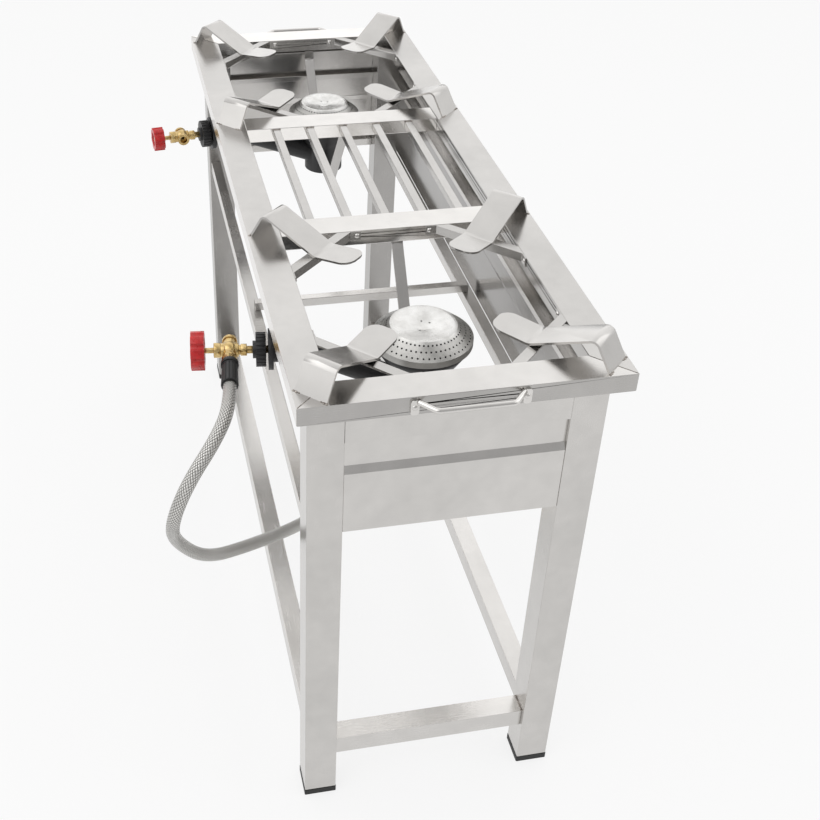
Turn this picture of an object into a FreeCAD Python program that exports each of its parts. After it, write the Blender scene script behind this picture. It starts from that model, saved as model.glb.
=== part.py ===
import FreeCAD, Part
import math
import os

# Two-burner stock pot range on four square legs.
# X runs along the range (+X is the end nearest the viewer), -Y is the side with the gas valves
# and +Z is up. All sizes are millimetres. The range is drawn about the middle of its top frame,
# then moved so that the origin is the middle of its footprint, valves and handles included.

V = FreeCAD.Vector
ORIGIN = V(0, 0, 0)
UP = V(0, 0, 1)

# Top frame
top_length = 1165.0
top_width = 400.0
top_height = 725.0
sheet = 1.5
rail_width = 45.0
skirt_depth = 25.0
lip_depth = 22.0
middle_window = 306.0
cross_width = 44.0

# Middle grill
bar_count = 5
bar_size = 12.0
bar_drop = 2.0
bar_wall = 1.2

# Legs, foot caps, aprons and stretchers
leg_size = 45.0
leg_wall = 1.5
leg_inset_side = 17.0
leg_inset_end = 30.0
foot_base_height = 10.0
foot_plug_height = 18.0
foot_overhang = 0.5
foot_clearance = 0.2
apron_height = 55.0
apron_thick = 15.0
apron_lip = 9.0
apron_notch_clearance = 2.5
stretcher_size = 30.0
stretcher_height = 76.0
stretcher_wall = 1.5

# Wind shields, the small tubes along their lower edges and one tube across on top of these
shield_depth = 219.0
shield_ledge_top = 118.0
shield_ledge_bottom = 129.0
shield_recess = 6.0
shield_face_setback = 1.0
shield_bend = 2.5
ring_tube = 14.0
side_tube = 18.0
ring_wall = 1.2
cross_tube_at = 25.0

# Pot supports: bent flat bars on the corners of each burner window
support_width = 44.0
support_thick = 3.0
support_height = 38.0
support_corner = 20.0
support_lean = 21.0
support_reach = 104.0
support_tongue = 54.0
support_tongue_rise = 6.0
support_tongue_corner = 17.0
support_top_bend = 9.0
support_kink_bend = 14.0
supports_per_burner = 4

# Corner braces and their rivets
brace_leg = 96.0
brace_top_width = 14.0
brace_face_height = 13.0
brace_drop = 0.5
brace_tab = 13.0
brace_rivet_setback = 5.0
rivet_radius = 2.0
rivet_head_radius = 3.6
rivet_head_height = 2.0
rivet_tail_radius = 2.9
rivet_tail_height = 1.0
rivet_clearance = 0.03
rivet_hole_reach = 4.5

# End handles
handle_rod = 7.0
handle_span = 90.0
handle_reach = 22.0
handle_slope = 16.0
handle_drop = 6.5
handle_bend = 9.0
handle_tab_length = 10.0
handle_tab_height = 20.0
handle_tab_drop = 13.5
handle_tab_thick = 3.0
handle_tab_corner = 3.5

# Burners. The near burner is the larger one.
burner_yaw = 7.0
burner_inset = 5.0
near_burner_set_back = 3.0
far_burner_set_back = 9.0
near_cap_radius = 66.0
far_cap_radius = 61.0
near_dish_radius = 41.0
far_dish_radius = 36.5
cap_dish_floor_radius = 8.0
cap_dish_depth = 5.0
cap_dish_edge = 3.0
cap_wall = 3.0
cap_drop = 50.0
cap_rim_top = 67.0
cap_rim_bottom = 76.0
cap_seat_gap = 0.3
cap_spigot_gap = 0.4
cap_spigot_depth = 5.0
cap_hole_radius = 1.25
cap_holes_per_row = 54
cap_hole_rows = 3
cap_row_margin = 0.6
cap_port_depth = 18.0
cap_centre_hole_pitch = 12.0
cap_centre_hole_turns = (-30, 130, 185)
cap_overhang = 6.0
bowl_wall = 4.0
bowl_rim_height = 8.0
bowl_bottom = 128.0
chamber_radius = 33.0
chamber_bottom = 172.0
chamber_floor = 8.0
mixer_radius = 17.0
mixer_wall = 4.0
mixer_dip = 60.0
mixer_bend_radius = 60.0
mixer_bend_at = 150.0
mouth_radius = 27.0
mouth_thick = 6.5
mouth_inset = 3.0
mouth_bore = 21.5
mouth_web = 4.0
mouth_webs = 3
boss_radius = 9.0
valve_drop = 84.0

# Burner hangers
hanger_width = 16.0
hanger_thick = 3.0
hanger_flat = 102.0
hanger_offset = 4.0
hanger_lip_clearance = 3.0
hanger_start_tab = 12.0
hanger_end_gap = 0.5
hanger_end_tab = 15.5
hanger_bend = 8.0
bolt_radius = 4.0
bolt_grip = 4.0
bolt_head_radius = 6.5
bolt_head_height = 5.0
bolt_clearance = 0.05

# Air shutters, injector nipples and valves, in order outward along each burner's gas line
shutter_radius = 22.5
shutter_thick = 13.0
shutter_gap = 3.0
shutter_ribs = 24
shutter_rib_radius = 1.2
shutter_collar_radius = 11.5
shutter_collar_length = 4.0
nipple_radius = 5.0
nipple_gap = 0.08
nipple_socket = 7.0
jet_radius = 3.5
jet_length = 8.0
jet_bore = 1.0
nipple_neck_radius = 6.5
nipple_neck_length = 2.6
nipple_collar_radius = 7.8
nipple_collar_length = 8.0
valve_standoff = 49.5
valve_half = 11.5
valve_radius = 9.0
valve_swell = 11.5
near_port_reach = 22.0
far_port_reach = 15.5
port_radius = 8.4
port_rim_radius = 9.8
port_rim_length = 5.0
port_bore = 5.9
near_port_depth = 12.0
far_port_depth = 9.0
gas_way = 3.0
thread_gap = 0.05
plug_head = 6.5
plug_head_length = 4.0
plug_thread_length = 7.0
gland_radius = 9.7
gland_length = 9.0
spindle_radius = 3.6
spindle_gap = 0.08
spindle_depth = 10.0
spindle_end_gap = 1.0
spindle_tip = 1.0
near_wheel_radius = 25.5
far_wheel_radius = 19.5
wheel_thick = 17.5
wheel_standoff = 20.5
wheel_lobes = 8
wheel_scallop = 5.0
wheel_scallop_out = 2.5
wheel_hub = 8.0
wheel_recess = 6.0
wheel_rim = 8.0
wheel_nut_hex = 5.5
wheel_nut_length = 3.5

# Gas hose on the near valve
hose_radius = 8.5
union_hex = 9.5
union_length = 8.0
union_spigot_length = 10.0
union_tail_radius = 5.0
union_tail_length = 16.0
hose_collar_radius = 11.3
hose_collar_length = 6.0
hose_sleeve_start_radius = 10.0
hose_sleeve_end_radius = 11.0
hose_sleeve_length = 42.0
hose_sleeve_ribs = 14
hose_sleeve_groove = 0.8
hose_groove_lead = 3.0
hose_end_length = 40.0
hose_ferrule_radius = 11.5
hose_swivel_hex = 11.0
hose_swivel_bore = 7.5
hose_lead = 44.0
hose_bend_share = 0.45

# Places worked out from the sizes above
end_x = top_length / 2
side_y = top_width / 2
window_y = side_y - rail_width
window_end_x = end_x - rail_width
cross_x = middle_window / 2 + cross_width / 2
window_start_x = middle_window / 2 + cross_width
window_x = (window_start_x + window_end_x) / 2
burner_x = window_x - burner_inset
leg_x = end_x - leg_inset_end - leg_size / 2
leg_y = side_y - leg_inset_side - leg_size / 2
leg_face_x = end_x - leg_inset_end
leg_face_y = side_y - leg_inset_side
leg_top = top_height - lip_depth
valve_z = top_height - valve_drop
brace_z = top_height - brace_drop
mouth_at = side_y - mouth_inset
mouth_back = mouth_at - mouth_thick
shutter_at = mouth_at + shutter_gap
valve_at = mouth_at + valve_standoff
valve_face = valve_at - valve_half
valve_back = valve_at + valve_half
nipple_collar_at = valve_face - nipple_neck_length - nipple_collar_length
wheel_at = valve_back + wheel_standoff
hose_start = near_port_reach + union_length + hose_collar_length + hose_sleeve_length
set_back = {"near": near_burner_set_back, "far": far_burner_set_back}
cap_radius = {"near": near_cap_radius, "far": far_cap_radius}
dish_radius = {"near": near_dish_radius, "far": far_dish_radius}
port_reach = {"near": near_port_reach, "far": far_port_reach}
port_depth = {"near": near_port_depth, "far": far_port_depth}
wheel_radius = {"near": near_wheel_radius, "far": far_wheel_radius}

parts = {}


def block(x0, x1, y0, y1, z0, z1):
    """Box between two corners given in any order."""
    low = V(min(x0, x1), min(y0, y1), min(z0, z1))
    return Part.makeBox(abs(x1 - x0), abs(y1 - y0), abs(z1 - z0), low)


def face_of(points):
    """Flat face inside a closed polygon."""
    return Part.Face(Part.makePolygon(list(points) + [points[0]]))


def rod(start, end, radius):
    """Cylinder from one point to another."""
    run = end - start
    return Part.makeCylinder(radius, run.Length, start, run)


def hexagon(start, direction, inner_radius, length):
    """Hexagonal bar whose flats lie inner_radius from its axis."""
    points = []
    for i in range(6):
        turn = math.radians(60 * i)
        corner = inner_radius / math.cos(math.radians(30))
        points.append(V(corner * math.cos(turn), corner * math.sin(turn), 0))
    bar = face_of(points).extrude(V(0, 0, length))
    bar.Placement = FreeCAD.Placement(start, FreeCAD.Rotation(UP, direction))
    return bar


def square_tube(low, high, wall, axis):
    """Hollow box section between two corners, open along one axis."""
    outer = block(low.x, high.x, low.y, high.y, low.z, high.z)
    grow = {"x": (0, wall, wall), "y": (wall, 0, wall), "z": (wall, wall, 0)}[axis]
    inner = block(low.x + grow[0], high.x - grow[0], low.y + grow[1], high.y - grow[1],
                  low.z + grow[2], high.z - grow[2])
    return outer.cut(inner)


def rounded_path(points, radii):
    """Edges of straight runs joined by tangent arcs, one radius per inner point."""
    edges = []
    here = points[0]
    for i in range(1, len(points) - 1):
        before = (points[i - 1] - points[i]).normalize()
        after = (points[i + 1] - points[i]).normalize()
        half_turn = (math.pi - before.getAngle(after)) / 2
        back = radii[i - 1] * math.tan(half_turn)
        first = points[i] + before * back
        last = points[i] + after * back
        bisector = (before + after).normalize()
        middle = points[i] + bisector * (radii[i - 1] / math.cos(half_turn) - radii[i - 1])
        if (first - here).Length > 1e-6:
            edges.append(Part.LineSegment(here, first).toShape())
        edges.append(Part.Arc(first, middle, last).toShape())
        here = last
    edges.append(Part.LineSegment(here, points[-1]).toShape())
    return edges


def pipe(points, radii, radius):
    """Round bar swept along a rounded path."""
    spine = Part.Wire(rounded_path(points, radii))
    ring = Part.Wire(Part.makeCircle(radius, points[0], points[1] - points[0]))
    return spine.makePipeShell([ring], True, False)


def bent_strip(points, radii, thickness, width_direction):
    """Flat bar or sheet whose centre line is bent as given, as wide as the last vector."""
    normal = V(width_direction).normalize()
    runs = [(end - start).normalize() for start, end in zip(points, points[1:])]
    corners = []
    edges = []
    for offset in (thickness / 2, -thickness / 2):
        line = [points[0] + runs[0].cross(normal) * offset]
        turned = []
        for before, after, point, radius in zip(runs, runs[1:], points[1:], radii):
            square = before.cross(normal) + after.cross(normal)
            line.append(point + square * (offset / (1 + before.dot(after))))
            inside = square.dot(after - before) * offset > 0
            turned.append(radius - thickness / 2 if inside else radius + thickness / 2)
        line.append(points[-1] + runs[-1].cross(normal) * offset)
        corners.append(line)
        edges += rounded_path(line, turned)
    for i in (0, -1):
        edges.append(Part.LineSegment(corners[0][i], corners[1][i]).toShape())
    outline = Part.Wire(Part.__sortEdges__(edges))
    return Part.Face(outline).extrude(width_direction)


def about_z(shape, degrees, centre=ORIGIN):
    """Copy turned about a vertical line."""
    copy = shape.copy()
    copy.rotate(centre, UP, degrees)
    return copy


def group(shapes):
    """Several separate solids kept together."""
    return Part.makeCompound(list(shapes))


def mirrored_x(shape):
    """Mirror image at the other end of the range."""
    return shape.mirror(ORIGIN, V(1, 0, 0))


def mirrored_y(shape):
    """Mirror image on the other long side."""
    return shape.mirror(ORIGIN, V(0, 1, 0))


# Brace ends and rivets: each rivet holds a brace tab on the inner lip of a rail or cross-member.

def rivet_middles(sign_x):
    """Rivet places of one burner window, as (point on the lip's face, direction into window)."""
    offset = brace_leg + brace_tab - brace_rivet_setback
    z = brace_z - brace_face_height / 2
    places = []
    for sign_y in (-1, 1):
        for x, into in ((window_start_x, 1), (window_end_x, -1)):
            places.append((V(sign_x * x, sign_y * (window_y - offset), z), V(sign_x * into, 0, 0)))
            along = x + into * offset
            places.append((V(sign_x * along, sign_y * window_y, z), V(0, -sign_y, 0)))
    return places


def rivet_holes():
    """Holes for every brace rivet, through lips and tabs."""
    holes = []
    for sign_x in (-1, 1):
        for point, into in rivet_middles(sign_x):
            reach = into * rivet_hole_reach
            holes.append(rod(point - reach, point + reach, rivet_radius + rivet_clearance))
    return holes


def rivet(point, into, grip_back, grip_front):
    """Round-headed rivet through two thin pieces, with a flatter closing head behind."""
    front = point + into * grip_front
    back = point - into * grip_back
    shank = rod(back, front, rivet_radius)
    ball = (rivet_head_radius ** 2 + rivet_head_height ** 2) / (2 * rivet_head_height)
    dome = Part.makeSphere(ball, front + into * (rivet_head_height - ball))
    dome = dome.common(rod(front, front + into * rivet_head_height, rivet_head_radius))
    tail = rod(back - into * rivet_tail_height, back, rivet_tail_radius)
    return shank.fuse([dome, tail]).removeSplitter()


def brace_rivets():
    """All brace rivets of both windows."""
    return [rivet(point, into, sheet, sheet)
            for sign_x in (1, -1) for point, into in rivet_middles(sign_x)]


# Top frame

def rail_section(width, outer, inner):
    """Inverted channel: outline in (u across, z down), u = 0 at the outer face."""
    return [(0, -outer), (0, 0), (width, 0), (width, -inner), (width - sheet, -inner),
            (width - sheet, -sheet), (sheet, -sheet), (sheet, -outer)]


def end_rail():
    """Rail across the near end, mitred at both corners."""
    section = [V(end_x - u, -side_y, top_height + z)
               for u, z in rail_section(rail_width, skirt_depth, lip_depth)]
    bar = face_of(section).extrude(V(0, top_width, 0))
    plan = [V(end_x, -side_y, 0), V(end_x, side_y, 0), V(window_end_x, window_y, 0),
            V(window_end_x, -window_y, 0)]
    return bar.common(face_of(plan).extrude(V(0, 0, 2 * top_height)))


def side_rail():
    """Rail along the back, mitred at both corners."""
    section = [V(-end_x, side_y - u, top_height + z)
               for u, z in rail_section(rail_width, skirt_depth, lip_depth)]
    bar = face_of(section).extrude(V(top_length, 0, 0))
    plan = [V(-end_x, side_y, 0), V(end_x, side_y, 0), V(window_end_x, window_y, 0),
            V(-window_end_x, window_y, 0)]
    return bar.common(face_of(plan).extrude(V(0, 0, 2 * top_height)))


def cross_member():
    """Inverted channel between the long rails, beside the near window."""
    section = [V(cross_x - cross_width / 2 + u, -window_y, top_height + z)
               for u, z in rail_section(cross_width, lip_depth, lip_depth)]
    return face_of(section).extrude(V(0, 2 * window_y, 0))


def grill_bars():
    """Square bars that bridge the middle window, evenly spaced."""
    gap = (2 * window_y - bar_count * bar_size) / (bar_count + 1)
    half = middle_window / 2
    top = top_height - bar_drop
    bars = []
    for i in range(bar_count):
        y = -window_y + gap + i * (gap + bar_size)
        bars.append(square_tube(V(-half, y, top - bar_size), V(half, y + bar_size, top), bar_wall, "x"))
    return bars


def add_top_frame():
    holes = group(rivet_holes())
    near = end_rail()
    back = side_rail()
    cross = cross_member()
    rivets = handle_rivet_holes()
    parts["top_rail_near"] = near.cut([holes, rivets])
    parts["top_rail_far"] = mirrored_x(near).cut([holes, mirrored_x(rivets)])
    parts["top_rail_back"] = back.cut(holes)
    parts["top_rail_front"] = mirrored_y(back).cut(holes)
    parts["cross_member_near"] = cross.cut(holes)
    parts["cross_member_far"] = mirrored_x(cross).cut(holes)
    parts["grill_bars"] = group(grill_bars())
    parts["rivets"] = group(brace_rivets() + handle_rivets())


# Corner braces

def corner_brace():
    """Angle strip across the near window's outer back corner, with a tab at each end."""
    corner = V(window_end_x, window_y, brace_z)
    inner = brace_leg - brace_top_width * math.sqrt(2)
    top = face_of([corner - V(brace_leg, 0, 0), corner - V(0, brace_leg, 0),
                   corner - V(0, inner, 0), corner - V(inner, 0, 0)]).extrude(V(0, 0, -sheet))
    back = brace_leg - sheet * math.sqrt(2)
    face = face_of([corner - V(brace_leg, 0, 0), corner - V(0, brace_leg, 0),
                    corner - V(0, back, 0), corner - V(back, 0, 0)])
    face = face.extrude(V(0, 0, -brace_face_height))
    reach = brace_leg + brace_tab
    low = brace_z - brace_face_height
    tab_x = block(window_end_x - reach, window_end_x - back, window_y - sheet, window_y, low, brace_z)
    tab_y = block(window_end_x - sheet, window_end_x, window_y - reach, window_y - back, low, brace_z)
    return top.fuse([face, tab_x, tab_y]).removeSplitter()


def window_copies(shape):
    """The four corner copies of a piece drawn in the near window's outer back corner."""
    twin = shape.mirror(V(window_x, 0, 0), V(1, 0, 0))
    return [shape, mirrored_y(shape), twin, mirrored_y(twin)]


def add_braces():
    holes = group(rivet_holes())
    near = [brace.cut(holes) for brace in window_copies(corner_brace())]
    parts["corner_braces_near"] = group(near)
    parts["corner_braces_far"] = group(mirrored_x(brace) for brace in near)


# Pot supports

def pot_support():
    """Bent bar at the near window's outer back corner, drawn along the corner's diagonal."""
    half = support_thick / 2
    fall = math.atan2(support_height - half, support_reach - support_lean)
    rise = math.atan2(support_tongue_rise, support_tongue)
    arc_centre = support_kink_bend / math.cos((fall + rise) / 2) * math.cos((fall - rise) / 2)
    seat = brace_z - top_height + support_kink_bend + half - arc_centre
    tip = support_reach + support_tongue
    apex = V(support_lean, 0, support_height - half)
    line = [apex * (-support_thick / apex.z), apex, V(support_reach, 0, seat),
            V(tip, 0, seat + support_tongue_rise)]
    bar = bent_strip(line, [support_top_bend, support_kink_bend], support_thick,
                     V(0, support_width, 0))
    bar.translate(V(0, -support_width / 2, 0))
    bar = bar.cut(block(-support_lean, support_lean, -support_width, support_width, -support_height, 0))
    side = support_width / 2
    nose = support_tongue_corner
    low = -support_height
    tall = 3 * support_height
    plan = [block(-support_lean, tip - nose, -side, side, low, low + tall),
            block(tip - nose, tip, nose - side, side - nose, low, low + tall)]
    for y in (nose - side, side - nose):
        plan.append(Part.makeCylinder(nose, tall, V(tip - nose, y, low)))
    bar = bar.common(plan[0].fuse(plan[1:]).removeSplitter())
    bar.rotate(ORIGIN, UP, 225)
    bar.translate(V(end_x - support_corner, side_y - support_corner, top_height))
    return bar


def add_supports():
    near = window_copies(pot_support())
    for i in range(supports_per_burner):
        parts["pot_support_near_%d" % (i + 1)] = near[i]
        parts["pot_support_far_%d" % (i + 1)] = mirrored_x(near[i])


# Legs, foot caps, aprons and stretchers

def add_legs():
    half = leg_size / 2
    plug = half - leg_wall - foot_clearance
    base = half + foot_overhang
    caps = []
    for end, sign_x in (("near", 1), ("far", -1)):
        for side, sign_y in (("front", -1), ("back", 1)):
            x = sign_x * leg_x
            y = sign_y * leg_y
            leg = block(x - half, x + half, y - half, y + half, foot_base_height, leg_top)
            hollow = half - leg_wall
            leg = leg.cut(block(x - hollow, x + hollow, y - hollow, y + hollow, foot_base_height,
                                leg_top - leg_wall))
            parts["leg_%s_%s" % (end, side)] = leg
            cap = block(x - base, x + base, y - base, y + base, 0, foot_base_height)
            top = foot_base_height + foot_plug_height
            caps.append(cap.fuse(block(x - plug, x + plug, y - plug, y + plug, 0, top)))
    parts["foot_caps"] = group(cap.removeSplitter() for cap in caps)


def apron_section():
    """Channel open to the inside, (u inward, z down), with a lip up along its lower inner edge."""
    deep = apron_thick
    low = -apron_height
    return [(0, 0), (deep, 0), (deep, -sheet), (sheet, -sheet), (sheet, low + sheet),
            (deep - sheet, low + sheet), (deep - sheet, low + apron_lip), (deep, low + apron_lip),
            (deep, low), (0, low)]


def add_aprons():
    top = top_height - skirt_depth
    reach_x = leg_x - leg_size / 2
    reach_y = leg_y - leg_size / 2
    near = face_of([V(leg_face_x - u, -reach_y, top + z) for u, z in apron_section()])
    near = near.extrude(V(0, 2 * reach_y, 0))
    back = face_of([V(-reach_x, leg_face_y - u, top + z) for u, z in apron_section()])
    back = back.extrude(V(2 * reach_x, 0, 0))
    front = mirrored_y(back)
    for sign_x in (1, -1):
        notch = valve_line(sign_x, 0, 2 * side_y, mixer_radius + apron_notch_clearance)
        front = front.cut(notch)
    parts["apron_near"] = near
    parts["apron_far"] = mirrored_x(near)
    parts["apron_back"] = back
    parts["apron_front"] = front


def add_stretchers():
    """Tubes low between the legs on three sides. The far end is open."""
    half = stretcher_size / 2
    low = stretcher_height
    top = stretcher_height + stretcher_size
    reach_x = leg_x - leg_size / 2
    reach_y = leg_y - leg_size / 2
    near = square_tube(V(leg_x - half, -reach_y, low), V(leg_x + half, reach_y, top), stretcher_wall, "y")
    back = square_tube(V(-reach_x, leg_y - half, low), V(reach_x, leg_y + half, top), stretcher_wall, "x")
    parts["stretcher_near"] = near
    parts["stretcher_back"] = back
    parts["stretcher_front"] = mirrored_y(back)


# Wind shields and their ring of small tubes

def shield_line(face, to_point):
    """Folded sheet's centre line behind a leg face, from the apron's underside to its hem."""
    setback = shield_face_setback + sheet / 2
    deep = shield_recess + sheet / 2
    start = top_height - skirt_depth - apron_height
    steps = [(deep, start), (deep, top_height - shield_ledge_top),
             (setback, top_height - shield_ledge_bottom), (setback, top_height - shield_depth)]
    return [to_point(face - u, z) for u, z in steps]


def add_shields():
    reach_x = leg_x - leg_size / 2
    reach_y = leg_y - leg_size / 2
    radii = [shield_bend, shield_bend]
    near_line = shield_line(leg_face_x, lambda u, z: V(u, -reach_y, z))
    near = bent_strip(near_line, radii, sheet, V(0, 2 * reach_y, 0))
    back_line = shield_line(leg_face_y, lambda u, z: V(-reach_x, u, z))
    back = bent_strip(back_line, radii, sheet, V(2 * reach_x, 0, 0))
    parts["wind_shield_near"] = near
    parts["wind_shield_far"] = mirrored_x(near)
    parts["wind_shield_back"] = back


def add_ring():
    """Tubes at the shields' hems: the end ones behind the sheet, the side ones below it."""
    hem = top_height - shield_depth
    inner = shield_face_setback + sheet
    reach_x = leg_x - leg_size / 2
    reach_y = leg_y - leg_size / 2
    far_x = leg_face_x - inner
    far_y = leg_face_y - inner
    near = square_tube(V(far_x - ring_tube, -reach_y, hem), V(far_x, reach_y, hem + ring_tube),
                       ring_wall, "y")
    back = square_tube(V(-reach_x, far_y - side_tube, hem - side_tube), V(reach_x, far_y, hem),
                       ring_wall, "x")
    half = ring_tube / 2
    cross_y = far_y - side_tube / 2
    cross = square_tube(V(cross_tube_at - half, -cross_y, hem),
                        V(cross_tube_at + half, cross_y, hem + ring_tube), ring_wall, "y")
    parts["ring_tubes_end"] = group([near, mirrored_x(near)])
    parts["ring_tubes_side"] = group([back, mirrored_y(back)])
    parts["ring_tube_cross"] = cross


# End handles

def handle_tab_y():
    """Middle of a handle's flat end, measured from the range's centre line."""
    return handle_span / 2 + handle_slope + handle_tab_length / 2


def handle():
    """Bent rod with flattened, riveted ends on the near skirt."""
    z = top_height - handle_drop
    tab_z = top_height - handle_tab_drop
    half = handle_rod / 2
    seat = end_x + half
    outer = handle_span / 2 + handle_slope
    line = [V(seat, outer, z), V(end_x + handle_reach, handle_span / 2, z),
            V(end_x + handle_reach, -handle_span / 2, z), V(seat, -outer, z)]
    bar = pipe(line, [handle_bend, handle_bend], half)
    for sign in (-1, 1):
        joint = Part.makeSphere(half, V(seat, sign * outer, z))
        middle = sign * handle_tab_y()
        tab = block(end_x, end_x + handle_tab_thick, middle - handle_tab_length / 2,
                    middle + handle_tab_length / 2, tab_z - handle_tab_height / 2,
                    tab_z + handle_tab_height / 2)
        tab = tab.makeFillet(handle_tab_corner, [edge for edge in tab.Edges if is_along_x(edge)])
        bar = bar.fuse([joint, tab])
    return bar.cut(handle_rivet_holes()).removeSplitter()


def is_along_x(edge):
    """True for an edge that runs along X."""
    start, end = edge.Vertexes[0].Point, edge.Vertexes[1].Point
    return abs(end.x - start.x) > 0.9 * edge.Length


def handle_rivet_holes():
    """Rivet holes through the near skirt and the handle's flat ends."""
    reach = V(rivet_hole_reach, 0, 0)
    middles = [V(end_x, sign * handle_tab_y(), top_height - handle_tab_drop) for sign in (-1, 1)]
    return group(rod(middle - reach, middle + reach, rivet_radius + rivet_clearance)
                 for middle in middles)


def handle_rivets():
    """Rivets through the flat ends of both handles."""
    z = top_height - handle_tab_drop
    rivets = [rivet(V(end_x, sign * handle_tab_y(), z), V(1, 0, 0), sheet, handle_tab_thick)
              for sign in (-1, 1)]
    return rivets + [mirrored_x(piece) for piece in rivets]


def add_handles():
    near = handle()
    parts["handle_near"] = near
    parts["handle_far"] = mirrored_x(near)


# Burners. Each is drawn about its own upright axis with the gas line going toward -Y, then
# turned by burner_yaw toward the middle of the range and set in its window.

def at_burner(shape, sign_x):
    """Copy of a burner piece turned and moved to its window."""
    copy = about_z(shape, -sign_x * burner_yaw)
    copy.translate(V(sign_x * burner_x, 0, top_height))
    return copy


def valve_line(sign_x, start, end, radius):
    """Cylinder on a burner's gas line, between two distances from the burner's middle."""
    return at_burner(rod(V(0, -start, -valve_drop), V(0, -end, -valve_drop), radius), sign_x)


def spun(outline):
    """Solid of revolution about the burner's axis from (radius, z) points."""
    return face_of([V(r, 0, z) for r, z in outline]).revolve(ORIGIN, UP, 360)


def bowl_radius(end):
    """Outer radius of a burner's bowl: the cap stands over it all round."""
    return cap_radius[end] - cap_overhang


def burner_cap(end):
    """Mushroom cap: shallow cone-shaped dish, perforated slope and upright rim, hollow below."""
    t = cap_wall
    dish = dish_radius[end]
    rim = cap_radius[end]
    spigot = bowl_radius(end) - bowl_wall - cap_spigot_gap
    low = -cap_rim_bottom - cap_spigot_depth
    floor = -cap_drop - cap_dish_depth
    outline = [(0, floor), (cap_dish_floor_radius, floor), (dish, -cap_drop),
               (dish + cap_dish_edge, -cap_drop), (rim, -cap_rim_top), (rim, -cap_rim_bottom),
               (spigot, -cap_rim_bottom), (spigot, low), (spigot - t, low),
               (spigot - t, -cap_rim_top), (dish, floor - t), (0, floor - t)]
    cap = spun(outline).cut(group(cap_holes(end)))
    cap.translate(V(0, set_back[end], 0))
    return cap


def cap_holes(end):
    """Flame ports in staggered rows square to the slope, and small holes in the dish."""
    inner = V(dish_radius[end] + cap_dish_edge, 0, -cap_drop)
    outer = V(cap_radius[end], 0, -cap_rim_top)
    slope = outer - inner
    normal = V(-slope.z, 0, slope.x).normalize()
    holes = []
    for row in range(cap_hole_rows):
        middle = inner + slope * ((row + cap_row_margin) / (cap_hole_rows - 1 + 2 * cap_row_margin))
        port = rod(middle + normal * cap_wall, middle - normal * cap_port_depth, cap_hole_radius)
        for i in range(cap_holes_per_row):
            holes.append(about_z(port, 360 * (i + row % 2 / 2) / cap_holes_per_row))
    for degrees in cap_centre_hole_turns:
        turn = math.radians(degrees)
        place = V(cap_centre_hole_pitch * math.cos(turn), cap_centre_hole_pitch * math.sin(turn), 0)
        holes.append(rod(place - V(0, 0, cap_drop), place - V(0, 0, cap_rim_bottom), cap_hole_radius))
    return holes


def burner_body(end):
    """Cast body: bowl, chamber and a mixing tube that dips from its mouth to the chamber."""
    w = bowl_wall
    rim = -cap_rim_bottom - cap_seat_gap
    knee = rim - bowl_rim_height
    bowl = bowl_radius(end)
    floor = chamber_floor - chamber_bottom
    middle = V(0, set_back[end], 0)
    outer = spun([(0, rim), (bowl, rim), (bowl, knee), (chamber_radius, -bowl_bottom),
                  (chamber_radius, -chamber_bottom), (0, -chamber_bottom)])
    inner = spun([(0, rim), (bowl - w, rim), (bowl - w, knee - w / 2),
                  (chamber_radius - w, -bowl_bottom), (chamber_radius - w, floor), (0, floor)])
    outer.translate(middle)
    inner.translate(middle)
    line = [V(0, -mouth_back, -valve_drop), V(0, -mixer_bend_at, -valve_drop),
            middle - V(0, chamber_radius / 2, valve_drop + mixer_dip)]
    tube = pipe(line, [mixer_bend_radius], mixer_radius)
    bore = pipe([V(0, -mouth_at, -valve_drop)] + line[1:], [mixer_bend_radius], mixer_radius - mixer_wall)
    flange = rod(V(0, -mouth_back, -valve_drop), V(0, -mouth_at, -valve_drop), mouth_radius)
    funnel = Part.makeCone(mixer_radius - mixer_wall, mouth_bore, mouth_thick,
                           V(0, -mouth_back, -valve_drop), V(0, -1, 0))
    body = outer.fuse([tube, flange]).cut([inner, bore, funnel])
    webs = [rod(V(0, -mouth_back, -valve_drop), V(0, -mouth_at, -valve_drop), boss_radius)]
    for i in range(mouth_webs):
        half = mouth_web / 2
        web = block(-half, half, -mouth_at, -mouth_back, boss_radius / 2, mouth_bore + half)
        web.rotate(ORIGIN, V(0, 1, 0), 360 / mouth_webs * i)
        web.translate(V(0, 0, -valve_drop))
        webs.append(web)
    hole = rod(V(0, -mouth_back, -valve_drop), V(0, -mouth_at, -valve_drop), nipple_radius + thread_gap)
    return body.fuse(webs).cut(hole)


def hanger_y(end):
    """Middle line of a burner's hanger, measured from the range's centre line."""
    return set_back[end] + hanger_offset


def bolt_thread(end):
    """Threaded hole up into the chamber's floor, in the near window."""
    foot = V(burner_x, hanger_y(end), top_height - chamber_bottom)
    return rod(foot, foot + V(0, 0, bolt_grip), bolt_radius + bolt_clearance)


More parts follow.
